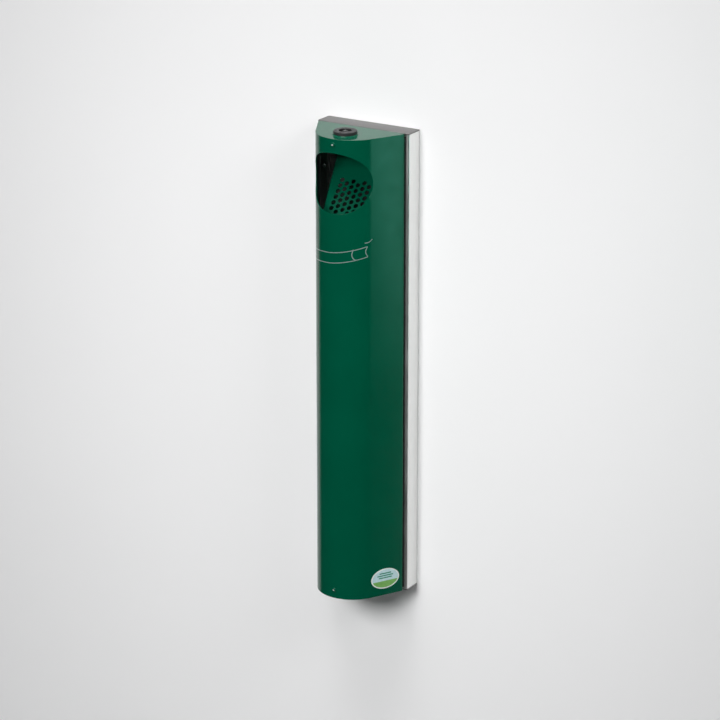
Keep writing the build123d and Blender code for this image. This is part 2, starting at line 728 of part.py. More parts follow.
arm_end = handle_half_width + handle_from_front - overall_depth
with BuildPart() as liner_handle:
    with BuildLine(Plane.XY.offset(handle_z)) as wire:
        FilletPolyline((-handle_half_width - handle_end, handle_y), (-handle_half_width, handle_y),
                       (-handle_half_width, arm_end), radius=handle_bend)
        ThreePointArc((-handle_half_width, arm_end), (0, arm_end - handle_half_width),
                      (handle_half_width, arm_end))
        FilletPolyline((handle_half_width, arm_end), (handle_half_width, handle_y),
                       (handle_half_width + handle_end, handle_y), radius=handle_bend)
    with BuildSketch(Plane(origin=wire.line @ 0, z_dir=wire.line % 0)):
        Circle(handle_wire)
    sweep()
finish(liner_handle.part, "liner_handle")
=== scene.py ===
import math

import bpy
from mathutils import Euler, Matrix, Vector


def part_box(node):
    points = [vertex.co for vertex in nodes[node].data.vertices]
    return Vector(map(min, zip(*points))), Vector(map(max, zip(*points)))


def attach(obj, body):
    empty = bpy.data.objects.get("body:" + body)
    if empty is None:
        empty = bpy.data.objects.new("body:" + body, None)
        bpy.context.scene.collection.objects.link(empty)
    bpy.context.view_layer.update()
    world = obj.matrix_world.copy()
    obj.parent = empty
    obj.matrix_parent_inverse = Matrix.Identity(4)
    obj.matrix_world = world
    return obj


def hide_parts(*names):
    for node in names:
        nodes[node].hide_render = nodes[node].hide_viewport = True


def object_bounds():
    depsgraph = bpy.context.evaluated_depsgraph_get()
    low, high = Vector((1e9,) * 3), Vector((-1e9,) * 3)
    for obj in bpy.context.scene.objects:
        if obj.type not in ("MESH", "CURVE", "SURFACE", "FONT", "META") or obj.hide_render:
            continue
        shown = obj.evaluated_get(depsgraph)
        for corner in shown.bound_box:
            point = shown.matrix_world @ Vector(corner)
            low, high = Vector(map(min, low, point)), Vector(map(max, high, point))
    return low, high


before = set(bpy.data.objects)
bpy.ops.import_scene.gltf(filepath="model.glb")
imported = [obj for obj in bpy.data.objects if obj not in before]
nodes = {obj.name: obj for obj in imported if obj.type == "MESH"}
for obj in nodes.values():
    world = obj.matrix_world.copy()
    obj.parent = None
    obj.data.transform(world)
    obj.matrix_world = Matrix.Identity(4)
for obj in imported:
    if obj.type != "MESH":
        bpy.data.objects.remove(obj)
cadLow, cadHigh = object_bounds()
frameCentre = (cadLow + cadHigh) / 2
mm = 0.001
print("frame loaded:", len(nodes), "nodes")


# small steps, as done by hand

def deselectAll():
    if bpy.context.mode != "OBJECT":
        bpy.ops.object.mode_set(mode="OBJECT")
    bpy.ops.object.select_all(action="DESELECT")


def pick(obj):
    deselectAll()
    obj.select_set(True)
    bpy.context.view_layer.objects.active = obj


def edit(obj, kind="FACE"):
    pick(obj)
    bpy.ops.object.mode_set(mode="EDIT")
    bpy.ops.mesh.select_mode(type=kind)
    bpy.ops.mesh.select_all(action="SELECT")


def done():
    bpy.ops.object.mode_set(mode="OBJECT")


def named(name):
    obj = bpy.context.object
    obj.name = name
    obj.data.name = name
    return obj


def applyPlace(obj):
    pick(obj)
    bpy.ops.object.transform_apply(location=True, rotation=True, scale=True)
    return obj


def remove(*objs):
    deselectAll()
    for obj in objs:
        obj.select_set(True)
    bpy.ops.object.delete()


def joined(objs, name):
    deselectAll()
    for obj in objs:
        obj.select_set(True)
    bpy.context.view_layer.objects.active = objs[0]
    bpy.ops.object.join()
    return named(name)


def copied(obj, name, move):
    pick(obj)
    bpy.ops.object.duplicate(linked=False)
    bpy.ops.transform.translate(value=move)
    bpy.ops.object.transform_apply(location=True, rotation=True, scale=True)
    return named(name)


def selectFaces(obj, test):
    # faces whose middle and normal pass the test; leaves edit mode on
    bpy.ops.mesh.select_all(action="DESELECT")
    done()
    for face in obj.data.polygons:
        face.select = test(face.center, face.normal)
    bpy.ops.object.mode_set(mode="EDIT")


def selectEdges(obj, test):
    # edges whose two ends pass the test; leaves edit mode on
    bpy.ops.mesh.select_all(action="DESELECT")
    done()
    for e in obj.data.edges:
        a, b = (obj.data.vertices[i].co for i in e.vertices)
        e.select = test(a, b)
    bpy.ops.object.mode_set(mode="EDIT")


def modified(obj, kind, **values):
    pick(obj)
    mod = obj.modifiers.new(kind.title(), kind)
    for key, value in values.items():
        setattr(mod, key, value)
    bpy.ops.object.modifier_apply(modifier=mod.name)
    return obj


def carved(obj, cutter):
    modified(obj, "BOOLEAN", object=cutter, operation="DIFFERENCE", solver="EXACT")
    remove(cutter)
    return obj


def softened(obj, width, segments=3, angle=50):
    return modified(obj, "BEVEL", width=width, segments=segments, limit_method="ANGLE",
                    angle_limit=math.radians(angle))


def smoothed(obj, angle=32):
    pick(obj)
    bpy.ops.object.shade_smooth_by_angle(angle=math.radians(angle))
    return obj


def slab(name, low, high):
    # a box between two corners
    low, high = Vector(low), Vector(high)
    bpy.ops.mesh.primitive_cube_add(size=1, location=(low + high) / 2)
    obj = named(name)
    obj.scale = high - low
    return applyPlace(obj)


def cutAt(places, normal):
    # bisects all that is selected, once at each place
    for place in places:
        bpy.ops.mesh.select_all(action="SELECT")
        bpy.ops.mesh.bisect(plane_co=place, plane_no=normal)


def wearing(obj, material):
    obj.data.materials.clear()
    obj.data.materials.append(material)
    return obj


# the cover's section: a round nose between two flats

cover = {
    "halfWidth": 63 * mm,                   # at its rear edge
    "flatAngle": math.radians(28),          # of the flats to the depth axis
    "sheet": 1.2 * mm,
    "returnFlange": 8 * mm,
    "returnBend": 2 * mm,
    "hingeSideGap": 1.9 * mm,               # where the sheet stops short of the knuckles
}
shellLow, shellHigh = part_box("front_shell")
sinFlat, cosFlat = math.sin(cover["flatAngle"]), math.cos(cover["flatAngle"])
bodyDepth = shellHigh.y - shellLow.y
noseRadius = (cover["halfWidth"] * cosFlat - bodyDepth * sinFlat) / (1 - sinFlat)
noseCentreY = shellLow.y + noseRadius
arcHalf = noseRadius * (math.pi / 2 - cover["flatAngle"])
bendY = noseCentreY - noseRadius * sinFlat
flatLength = (shellHigh.y - bendY) / cosFlat


def bentOver(obj, radius, low, high):
    # rolls a flat piece over a radius between two places along x; the rest stays straight
    across = [v.co.x for v in obj.data.vertices]
    left, right = min(across), max(across)
    low, high = max(low, left), min(high, right)
    span = right - left
    return modified(obj, "SIMPLE_DEFORM", deform_method="BEND", deform_axis="Z",
                    angle=(high - low) / radius,
                    limits=((low - left) / span, (high - left) / span))


def moved(obj, x=0.0, y=0.0, z=0.0):
    pick(obj)
    bpy.ops.transform.translate(value=(x, y, z))
    return applyPlace(obj)


def wrapped(obj):
    # from the flat blank (x along the sheet, y into it) onto the cover
    bentOver(obj, noseRadius, -arcHalf, arcHalf)
    return moved(obj, y=shellLow.y)


# materials

def newMaterial(name):
    mat = bpy.data.materials.new(name)
    mat.use_nodes = True
    shader = mat.node_tree.nodes["Principled BSDF"]
    return mat, mat.node_tree, shader


def addNode(tree, kind, inputs=None, **settings):
    node = tree.nodes.new("ShaderNode" + kind)
    for key, value in settings.items():
        setattr(node, key, value)
    for key, value in (inputs or {}).items():
        if isinstance(value, bpy.types.NodeSocket):
            tree.links.new(value, node.inputs[key])
        else:
            node.inputs[key].default_value = value
    return node


def grain(tree, size, stretch=(1, 1, 1), detail=3.0, roughness=0.5):
    # noise whose features are about one size across, in metres
    place = addNode(tree, "TexCoord")
    turned = addNode(tree, "Mapping", {"Vector": place.outputs["Object"], "Scale": stretch})
    return addNode(tree, "TexNoise", {"Vector": turned.outputs["Vector"], "Scale": 1 / size,
                                      "Detail": detail, "Roughness": roughness}).outputs["Fac"]


def blendOf(tree, factor, first, second, low=0.35, high=0.65):
    # two colours mixed over part of a factor's range
    ramp = addNode(tree, "ValToRGB", {"Fac": factor})
    ramp.color_ramp.elements[0].position = low
    ramp.color_ramp.elements[0].color = (*first, 1)
    ramp.color_ramp.elements[1].position = high
    ramp.color_ramp.elements[1].color = (*second, 1)
    return ramp.outputs["Color"]


def ranged(tree, factor, low, high, fromLow=0.3, fromHigh=0.7):
    return addNode(tree, "MapRange", {"Value": factor, "From Min": fromLow, "From Max": fromHigh,
                                      "To Min": low, "To Max": high}).outputs["Result"]


def bumped(tree, height, strength, distance, under=None):
    inputs = {"Height": height, "Strength": strength, "Distance": distance}
    if under is not None:
        inputs["Normal"] = under
    return addNode(tree, "Bump", inputs).outputs["Normal"]


def worn(tree, colour, wearColour, pointiness=(0.56, 0.66)):
    # edges rubbed lighter where the mesh is convex, broken up by noise
    geometry = addNode(tree, "NewGeometry")
    edge = ranged(tree, geometry.outputs["Pointiness"], 0.0, 1.0, *pointiness)
    broken = addNode(tree, "Math", {0: edge, 1: ranged(tree, grain(tree, 4 * mm), 0.0, 1.0)},
                     operation="MULTIPLY", use_clamp=True)
    mix = addNode(tree, "Mix", data_type="RGBA")
    tree.links.new(broken.outputs[0], mix.inputs["Factor"])
    tree.links.new(colour, mix.inputs[6])
    mix.inputs[7].default_value = (*wearColour, 1)
    return mix.outputs[2]


powderCoat = {
    "green": (0.0, 0.078, 0.041),
    "shade": (0.0, 0.072, 0.0375),
    "patchSize": 60 * mm,                   # of the slow change between green and shade
    "roughness": (0.13, 0.19),
    "glossPatchSize": 14 * mm,
    "peelSize": 2.2 * mm,                   # orange peel
    "peelStrength": 0.6,
    "peelDepth": 0.004 * mm,
    "speckSize": 0.35 * mm,
    "speckStrength": 0.3,
    "speckDepth": 0.002 * mm,
    "ior": 1.5,
    "specular": 0.19,
}


def makePowderCoat():
    p = powderCoat
    mat, tree, shader = newMaterial("greenPowderCoat")
    colour = blendOf(tree, grain(tree, p["patchSize"], detail=4), p["shade"], p["green"])
    tree.links.new(colour, shader.inputs["Base Color"])
    rough = ranged(tree, grain(tree, p["glossPatchSize"], detail=5), *p["roughness"])
    tree.links.new(rough, shader.inputs["Roughness"])
    peel = bumped(tree, grain(tree, p["peelSize"], detail=2), p["peelStrength"], p["peelDepth"])
    speck = bumped(tree, grain(tree, p["speckSize"], detail=2), p["speckStrength"],
                   p["speckDepth"], peel)
    tree.links.new(speck, shader.inputs["Normal"])
    shader.inputs["IOR"].default_value = p["ior"]
    shader.inputs["Specular IOR Level"].default_value = p["specular"]
    return mat


metals = {
    # name: light, dark, roughness, stretch of the brushing, its size, scratch depth, metallic
    "satinChannel": ((0.83, 0.83, 0.815), (0.74, 0.74, 0.73), (0.30, 0.42),
                     (1, 1, 0.02), 0.5 * mm, 0.004 * mm, 1.0),
    # painted shade: the end plates are the channel's silver darkened to grey, for the shade their
    # top face shows
    "endPlateMetalPaintedShade": ((0.245, 0.24, 0.238), (0.195, 0.19, 0.188), (0.42, 0.55),
                     (0.02, 1, 1), 0.6 * mm, 0.004 * mm, 1.0),
    "hingeSteel": ((0.60, 0.60, 0.59), (0.48, 0.48, 0.475), (0.30, 0.45),
                   (1, 1, 0.05), 0.4 * mm, 0.004 * mm, 1.0),
    # partly painted glint: bright steel, with a white diffuse share so the rivets show a light dot
    # however the light falls
    "rivetSteelPaintedGlint": ((0.90, 0.90, 0.89), (0.78, 0.78, 0.77), (0.30, 0.40),
                    (1, 1, 1), 0.9 * mm, 0.006 * mm, 0.6),
}
metalPatchSize = 45 * mm                    # of the slow change in sheen


def makeMetal(name, light, dark, roughness, stretch, size, scratch, metallic):
    mat, tree, shader = newMaterial(name)
    lines = grain(tree, size, stretch, detail=6, roughness=0.6)
    tree.links.new(blendOf(tree, lines, dark, light, 0.3, 0.7), shader.inputs["Base Color"])
    patches = grain(tree, metalPatchSize, detail=4)
    both = addNode(tree, "Math", {0: lines, 1: patches}, operation="MULTIPLY")
    rough = ranged(tree, both.outputs[0], *roughness, 0.1, 0.4)
    tree.links.new(rough, shader.inputs["Roughness"])
    tree.links.new(bumped(tree, lines, 0.5, scratch), shader.inputs["Normal"])
    shader.inputs["Metallic"].default_value = metallic
    return mat


# painted shade for the channel's inside behind the grid, which lies in shadow
behindGridShade = {
    "patchSize": 30 * mm,
    "halfAcross": (30 * mm, 50 * mm),       # full out to the first, gone at the second
    "middle": 205 * mm,
    "halfUp": (60 * mm, 85 * mm),
    "depth": (-0.9 * mm, -1.3 * mm),        # the channel's inner face only
    "nearness": (-9 * mm, -5 * mm),
    "strength": (0.75, 1.0),
    "shade": (0.045, 0.052, 0.048),
}


def paintBehindGridShade(mat):
    # painted shade: a dark film on the inside of the channel behind the grid, where the interior
    # lies in shadow
    tree = mat.node_tree
    shader = tree.nodes["Principled BSDF"]
    clean = shader.inputs["Base Color"].links[0].from_socket
    place = addNode(tree, "TexCoord")
    parts = addNode(tree, "SeparateXYZ", {"Vector": place.outputs["Object"]})
    across = addNode(tree, "Math", {0: parts.outputs["X"]}, operation="ABSOLUTE")
    above = addNode(tree, "Math", {0: parts.outputs["Z"], 1: behindGridShade["middle"]}, operation="SUBTRACT")
    up = addNode(tree, "Math", {0: above.outputs[0]}, operation="ABSOLUTE")
    shadeMask = ranged(tree, grain(tree, behindGridShade["patchSize"], detail=5), *behindGridShade["strength"])
    for value, (full, gone) in ((across.outputs[0], behindGridShade["halfAcross"]),
                                (up.outputs[0], behindGridShade["halfUp"])):
        fade = ranged(tree, value, 1.0, 0.0, full, gone)
        shadeMask = addNode(tree, "Math", {0: shadeMask, 1: fade}, operation="MULTIPLY").outputs[0]
    for gone, full in (behindGridShade["nearness"], behindGridShade["depth"]):
        fade = ranged(tree, parts.outputs["Y"], 0.0, 1.0, gone, full)
        shadeMask = addNode(tree, "Math", {0: shadeMask, 1: fade}, operation="MULTIPLY").outputs[0]
    mix = addNode(tree, "Mix", data_type="RGBA")
    tree.links.new(shadeMask, mix.inputs["Factor"])
    tree.links.new(clean, mix.inputs[6])
    mix.inputs[7].default_value = (*behindGridShade["shade"], 1)
    tree.links.new(mix.outputs[2], shader.inputs["Base Color"])


zincs = {
    # name: light, dark, width of a crystal, roughness
    "zincPlate": ((0.62, 0.63, 0.64), (0.47, 0.48, 0.50), 2.2 * mm, (0.30, 0.42)),
    "galvanisedSheet": ((0.64, 0.66, 0.68), (0.52, 0.54, 0.56), 7 * mm, (0.35, 0.43)),
}


def makeGalvanised(name, light, dark, spangle, roughness):
    # zinc crystals: patches of slightly different brightness and sheen
    mat, tree, shader = newMaterial(name)
    place = addNode(tree, "TexCoord")
    cells = addNode(tree, "TexVoronoi", {"Vector": place.outputs["Object"], "Scale": 1 / spangle,
                                         "Randomness": 1.0})
    tone = addNode(tree, "SeparateColor", {"Color": cells.outputs["Color"]}).outputs["Red"]
    cloudy = addNode(tree, "Math", {0: tone, 1: grain(tree, 3 * spangle, detail=4)},
                     operation="MULTIPLY")
    tree.links.new(blendOf(tree, cloudy.outputs[0], dark, light, 0.1, 0.6),
                   shader.inputs["Base Color"])
    tree.links.new(ranged(tree, tone, *roughness, 0.0, 1.0), shader.inputs["Roughness"])
    tree.links.new(bumped(tree, grain(tree, 0.8 * mm, detail=3), 0.3, 0.01 * mm),
                   shader.inputs["Normal"])
    shader.inputs["Metallic"].default_value = 1.0
    return mat


blacks = {
    # name: dark, light, roughness, grain, its depth, colour of rubbed edges
    "blackLock": ((0.022, 0.022, 0.023), (0.034, 0.034, 0.035), (0.38, 0.52),
                  0.5 * mm, 0.01 * mm, (0.16, 0.16, 0.16)),
    "edgeRubber": ((0.016, 0.016, 0.016), (0.026, 0.026, 0.026), (0.62, 0.78),
                   0.4 * mm, 0.02 * mm, None),
}
blackSpecular = 0.22


def makeBlack(name, dark, light, roughness, size, depth, wearColour):
    mat, tree, shader = newMaterial(name)
    colour = blendOf(tree, grain(tree, 6 * mm, detail=4), dark, light)
    if wearColour:
        colour = worn(tree, colour, wearColour)
    tree.links.new(colour, shader.inputs["Base Color"])
    tree.links.new(ranged(tree, grain(tree, 9 * mm, detail=5), *roughness),
                   shader.inputs["Roughness"])
    tree.links.new(bumped(tree, grain(tree, size, detail=3), 0.5, depth), shader.inputs["Normal"])
    shader.inputs["Specular IOR Level"].default_value = blackSpecular
    return mat


prints = {
    # name: colour, shade
    "printGrey": ((0.215, 0.28, 0.26), (0.175, 0.23, 0.215)),
    "filmWhite": ((0.80, 0.82, 0.80), (0.72, 0.75, 0.73)),
    "filmField": ((0.55, 0.70, 0.74), (0.47, 0.63, 0.68)),
    "filmBand": ((0.19, 0.42, 0.10), (0.15, 0.36, 0.08)),
    "filmBar": ((0.01, 0.25, 0.14), (0.01, 0.21, 0.12)),
}
printRoughness = (0.28, 0.42)


def makePrint(name, colour, shade):
    # ink or film: faint mottling, a little sheen
    mat, tree, shader = newMaterial(name)
    tree.links.new(blendOf(tree, grain(tree, 3 * mm, detail=5), shade, colour),
                   shader.inputs["Base Color"])
    tree.links.new(ranged(tree, grain(tree, 5 * mm, detail=4), *printRoughness),
                   shader.inputs["Roughness"])
    tree.links.new(bumped(tree, grain(tree, 0.5 * mm), 0.3, 0.006 * mm), shader.inputs["Normal"])
    return mat


green = makePowderCoat()
metal = {name: makeMetal(name, *values) for name, values in metals.items()}
# the channel's inside behind the grid gets painted shade
paintBehindGridShade(metal["satinChannel"])
zinc = {name: makeGalvanised(name, *values) for name, values in zincs.items()}
black = {name: makeBlack(name, *values) for name, values in blacks.items()}
film = {name: makePrint(name, *values) for name, values in prints.items()}

finishOf = {
    "back_channel": metal["satinChannel"],
    "top_end_cap": metal["endPlateMetalPaintedShade"],
    "bottom_end_cap": metal["endPlateMetalPaintedShade"],
    "edge_gasket": black["edgeRubber"],
    "strike_bracket": zinc["zincPlate"],
    "strike_post": zinc["zincPlate"],
    "strike_rivets": metal["rivetSteelPaintedGlint"],
    "stub_grid": green,
    "grid_rivets": metal["rivetSteelPaintedGlint"],
    "liner_shelf": zinc["galvanisedSheet"],
    "shelf_rivets": metal["rivetSteelPaintedGlint"],
    "hinge_frame_leaf": metal["hingeSteel"],
    "hinge_leaf_rivets": metal["rivetSteelPaintedGlint"],
    "hinge_pin": metal["hingeSteel"],
    "top_cap": green,
    "bottom_cap": green,
    "hinge_cover_leaf": metal["hingeSteel"],
    "lock_body": black["blackLock"],
    "lock_nut": zinc["zincPlate"],
    "label_plate": film["filmWhite"],
    "lock_insert": black["blackLock"],
    "lock_cam": zinc["zincPlate"],
    "cam_screw": zinc["zincPlate"],
    "liner": zinc["galvanisedSheet"],
    "handle_ears": zinc["zincPlate"],
    "ear_rivets": metal["rivetSteelPaintedGlint"],
    "liner_handle": zinc["zincPlate"],
}
for node, finish in finishOf.items():
    for slot in nodes[node].material_slots:
        slot.material = finish
print("materials made")


# cover shell: cut flat with its mouth, edges eased, then bent

mouth = {
    "halfWidth": 51.6 * mm,                 # along the sheet
    "halfHeight": 38.2 * mm,
    "belowTop": 56 * mm,
    "sides": 192,
    "cutterLength": 20 * mm,
}
shellParts = {
    "columnStep": 1.2 * mm,
    "besideBend": 1.5 * mm,                 # of the columns that close off a bend
    "edgeSoftness": 0.22 * mm,
    "returnSteps": 12,
    "smoothAngle": 14,
}


def makeCoverShell():
    tangentRun = cover["returnBend"] * math.tan((math.pi / 2 + cover["flatAngle"]) / 2)
    returnRun = cover["returnBend"] * (math.pi / 2 + cover["flatAngle"])
    bendStart = arcHalf + flatLength - tangentRun
    right = bendStart + returnRun + cover["returnFlange"] - tangentRun
    left = -(arcHalf + flatLength - cover["hingeSideGap"])
    shell = slab("coverShell", (left, 0, shellLow.z), (right, cover["sheet"], shellHigh.z))
    bpy.ops.mesh.primitive_cylinder_add(vertices=mouth["sides"], radius=1,
                                        depth=mouth["cutterLength"], rotation=(math.pi / 2, 0, 0),
                                        location=(0, 0, shellHigh.z - mouth["belowTop"]))
    cutter = named("mouthCutter")
    cutter.scale = (mouth["halfWidth"], mouth["halfHeight"], 1)
    applyPlace(cutter)
    carved(shell, cutter)
    softened(shell, shellParts["edgeSoftness"])
    modified(shell, "TRIANGULATE")
    edit(shell)
    count = round(2 * arcHalf / shellParts["columnStep"])
    places = [(-arcHalf + 2 * arcHalf * i / count, 0, 0) for i in range(count + 1)]
    places += [(bendStart + returnRun * i / shellParts["returnSteps"], 0, 0)
               for i in range(shellParts["returnSteps"] + 1)]
    beside = shellParts["besideBend"]
    places += [(x, 0, 0) for x in (bendStart - beside, arcHalf + beside, -arcHalf - beside)]
    cutAt(places, (1, 0, 0))
    done()
    moved(shell, x=-bendStart)
    bentOver(shell, cover["returnBend"], 0, returnRun)
    moved(shell, x=bendStart)
    wrapped(shell)
    wearing(shell, green)
    smoothed(shell, shellParts["smoothAngle"])
    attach(shell, "cover")
    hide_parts("front_shell")


makeCoverShell()
print("cover shell made")


# end plates of the channel: eased edges, so a seam shows against the channel

endPlates = {
    "cornerRadius": 2.5 * mm,
    "cornerSteps": 8,
    "edgeSoftness": 0.4 * mm,
    "edgeSteps": 4,
    "smoothAngle": 24,
    "drainRadius": 4 * mm,
    "drainsApart": 44 * mm,
    "drainSides": 48,
    "cutterLength": 20 * mm,
}


def endPlate(name, node):
    low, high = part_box(node)
    plate = slab(name, low, high)
    edit(plate, "EDGE")
    selectEdges(plate, lambda a, b: abs(a.z - b.z) > 0.5 * mm)
    bpy.ops.mesh.bevel(offset=endPlates["cornerRadius"], segments=endPlates["cornerSteps"],
                       affect="EDGES")
    done()
    if low.z < 0:
        for side in (-1, 1):
            bpy.ops.mesh.primitive_cylinder_add(vertices=endPlates["drainSides"],
                                                radius=endPlates["drainRadius"],
                                                depth=endPlates["cutterLength"],
                                                location=(side * endPlates["drainsApart"] / 2,
                                                          (low.y + high.y) / 2, low.z))
            carved(plate, named("drain"))
    softened(plate, endPlates["edgeSoftness"], endPlates["edgeSteps"], 60)
    # the end plates' metal carries painted shade
    wearing(plate, metal["endPlateMetalPaintedShade"])
    smoothed(plate, endPlates["smoothAngle"])
    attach(plate, "wall_unit")
    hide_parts(node)


endPlate("endPlateTop", "top_end_cap")
endPlate("endPlateBottom", "bottom_end_cap")
print("end plates made")


# nose rivets: domed head with the broken mandrel in its middle

noseRivet = {
    "headRadius": 3.2 * mm,
    "headHeight": 1.2 * mm,
    "headRounding": 0.95 * mm,
    "roundingSteps": 6,
    "holeRadius": 1.05 * mm,
    "holeEdge": (0.12 * mm, -0.1 * mm),     # width and drop of the eased rim
    "holeDepth": 0.5 * mm,
    "stubGap": 0.18 * mm,                   # round the mandrel's stub
    "stubRise": 0.25 * mm,
    "stubEdge": (0.15 * mm, 0.08 * mm),     # width and rise of its crown
    "smoothAngle": 35,
    "sides": 48,
    "belowTop": 7 * mm,
    "aboveBottom": 11 * mm,
}


def makeNoseRivets():
    r = noseRivet
    front = shellLow.y
    bpy.ops.mesh.primitive_cylinder_add(vertices=r["sides"], radius=r["headRadius"],
                                        depth=r["headHeight"], rotation=(math.pi / 2, 0, 0),
                                        location=(0, front - r["headHeight"] / 2, 0))
    head = applyPlace(named("noseRivetTop"))
    face = front - r["headHeight"]
    edit(head, "EDGE")
    selectEdges(head, lambda a, b: abs(a.y - face) < 1e-6 and abs(b.y - face) < 1e-6)
    bpy.ops.mesh.bevel(offset=r["headRounding"], segments=r["roundingSteps"], profile=0.5,
                       affect="EDGES")
    bpy.ops.mesh.select_mode(type="FACE")
    selectFaces(head, lambda c, n: n.y < -0.99 and abs(c.y - face) < 1e-6)
    bpy.ops.mesh.inset(thickness=r["headRadius"] - r["headRounding"] - r["holeRadius"], depth=0)
    bpy.ops.mesh.inset(thickness=r["holeEdge"][0], depth=r["holeEdge"][1])
    bpy.ops.mesh.extrude_region_move(TRANSFORM_OT_translate={"value": (0, r["holeDepth"], 0)})
    bpy.ops.mesh.inset(thickness=r["stubGap"], depth=0)
    bpy.ops.mesh.extrude_region_move(TRANSFORM_OT_translate={"value": (0, -r["stubRise"], 0)})
    bpy.ops.mesh.inset(thickness=r["stubEdge"][0], depth=r["stubEdge"][1])
    done()
    smoothed(head, r["smoothAngle"])
    wearing(head, green)
    # the mandrel's metal carries a painted glint
    head.data.materials.append(metal["rivetSteelPaintedGlint"])
    for face in head.data.polygons:
        if math.hypot(face.center.x, face.center.z) < r["holeRadius"]:
            face.material_index = 1
    low = copied(head, "noseRivetBottom", (0, 0, shellLow.z + r["aboveBottom"]))
    moved(head, z=shellHigh.z - r["belowTop"])
    for piece in (head, low):
        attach(piece, "cover")
    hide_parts("cap_rivets")


makeNoseRivets()
print("nose rivets made")


# printed cigarette on the nose, drawn on the flat sheet and wrapped with it

pictogram = {
    "centre": (0.0, 150.2 * mm),            # along the sheet, and above mid-height
    "halfLength": 44 * mm,
    "halfWidth": 6.6 * mm,
    "rise": 8.6 * mm,                       # of the right end above the middle
    "drop": 4.0 * mm,                       # of the left end below the middle
    "tipAt": 26 * mm,                       # where the glowing tip begins
    "endBow": 2.4 * mm,
    "stroke": 0.58 * mm,                    # half the line's width
    "ink": 0.04 * mm,
}


def inkStroke(name, points):
    # a smooth line through a few (along, up) points, squeezed flat like ink
    bpy.ops.curve.primitive_bezier_curve_add(location=(0, 0, 0))
    line = named(name)
    line.data.dimensions = "3D"
    spline = line.data.splines[0]
    spline.bezier_points.add(len(points) - len(spline.bezier_points))
    for point, (x, z) in zip(spline.bezier_points, points):
        point.co = (x, 0, z)
        point.handle_left_type = point.handle_right_type = "AUTO"
    line.data.resolution_u = 14
    line.data.bevel_depth = pictogram["stroke"]
    line.data.bevel_resolution = 2
    line.data.use_fill_caps = True
    pick(line)
    bpy.ops.object.convert(target="MESH")
    line = bpy.context.object
    line.scale = (1, pictogram["ink"] / pictogram["stroke"], 1)
    return applyPlace(line)


def makePictogram():
    p = pictogram
    cx, cz = p["centre"]
    half, thick = p["halfLength"], p["halfWidth"]

    def middle(x):
        # the cigarette's own middle line, a little bowed upwards to the right
        share = x / half
        return cz + (p["rise"] if x > 0 else p["drop"]) * share * (0.75 + 0.25 * abs(share))

    upper = [(cx + x, middle(x) + thick) for x in (-half, -half / 2, 0, half / 2, half)]
    lower = [(cx + x, middle(x) - thick) for x in (-half, -half / 2, 0, half / 2, half + 0.5 * mm)]
    rightEnd = [upper[-1], (cx + half - p["endBow"], middle(half)), lower[-1]]
    leftEnd = [upper[0], (cx - half - 0.6 * p["endBow"], middle(-half)), lower[0]]
    tip = [(cx + p["tipAt"], middle(p["tipAt"]) + thick + 1.2 * mm),
           (cx + p["tipAt"] - 1.6 * mm, middle(p["tipAt"])),
           (cx + p["tipAt"] + 1.4 * mm, middle(p["tipAt"]) - 0.75 * thick),
           (cx + p["tipAt"] + 4.4 * mm, middle(p["tipAt"] + 4.4 * mm) - thick)]
    smoke = [(cx + half - 3.5 * mm, middle(half) + thick + 4.6 * mm),
             (cx + half + 1.5 * mm, middle(half) + thick + 5.2 * mm),
             (cx + half + 6.8 * mm, middle(half) + thick + 8.6 * mm)]
    lines = [inkStroke("ink", points) for points in (upper, lower, rightEnd, leftEnd, tip, smoke)]
    ink = joined(lines, "pictogram")
    wrapped(ink)
    wearing(ink, film["printGrey"])
    smoothed(ink, 60)
    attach(ink, "cover")


makePictogram()
print("pictogram made")


# label print: a plain two-tone oval with bars, on the label's film

label = {
    "halfWidth": 20.5 * mm,
    "halfHeight": 13.5 * mm,
    "border": 1.5 * mm,
    "ink": 0.05 * mm,
    "splitAbove": -3.2 * mm,                # where the lower band begins
    "bars": [(3.4 * mm, 11.5 * mm), (6.4 * mm, 8.5 * mm), (0.4 * mm, 9.5 * mm)],
    "barHeight": 1.5 * mm,
}


def labelSheet(name, low, high, material):
    # the part of the label's inner oval between two heights, as a thin print
    bpy.ops.mesh.primitive_circle_add(vertices=96, radius=1, fill_type="NGON",
                                      rotation=(math.pi / 2, 0, 0))
    sheet = named(name)
    sheet.scale = (label["halfWidth"] - label["border"], label["halfHeight"] - label["border"], 1)
    applyPlace(sheet)
    edit(sheet)
    bpy.ops.mesh.bisect(plane_co=(0, 0, low), plane_no=(0, 0, 1), clear_inner=True)
    bpy.ops.mesh.select_all(action="SELECT")
    bpy.ops.mesh.bisect(plane_co=(0, 0, high), plane_no=(0, 0, 1), clear_outer=True)
    bpy.ops.mesh.select_all(action="SELECT")
    bpy.ops.mesh.extrude_region_move(TRANSFORM_OT_translate={"value": (0, -label["ink"], 0)})
    bpy.ops.mesh.select_all(action="SELECT")
    bpy.ops.mesh.normals_make_consistent(inside=False)
    done()
    return wearing(sheet, material)


def makeLabel():
    plateLow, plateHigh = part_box("label_plate")
    centre = (plateLow + plateHigh) / 2
    outward = Vector((cosFlat, -sinFlat, 0))
    face = centre + outward * (0.15 * mm)
    parts = [labelSheet("labelField", label["splitAbove"], label["halfHeight"],
                        film["filmField"]),
             labelSheet("labelBand", -label["halfHeight"], label["splitAbove"],
                        film["filmBand"])]
    for i, (up, half) in enumerate(label["bars"]):
        bar = slab(f"labelBar{i + 1}", (-half, -2 * label["ink"], up),
                   (half, -0.5 * label["ink"], up + label["barHeight"]))
        parts.append(wearing(bar, film["filmBar"]))
    turn = Matrix.Rotation(math.pi / 2 - cover["flatAngle"], 4, "Z")
    for part in parts:
        part.matrix_world = Matrix.Translation(face) @ turn
        applyPlace(part)
        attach(part, "cover")


makeLabel()
print("label made")


# wall and floor

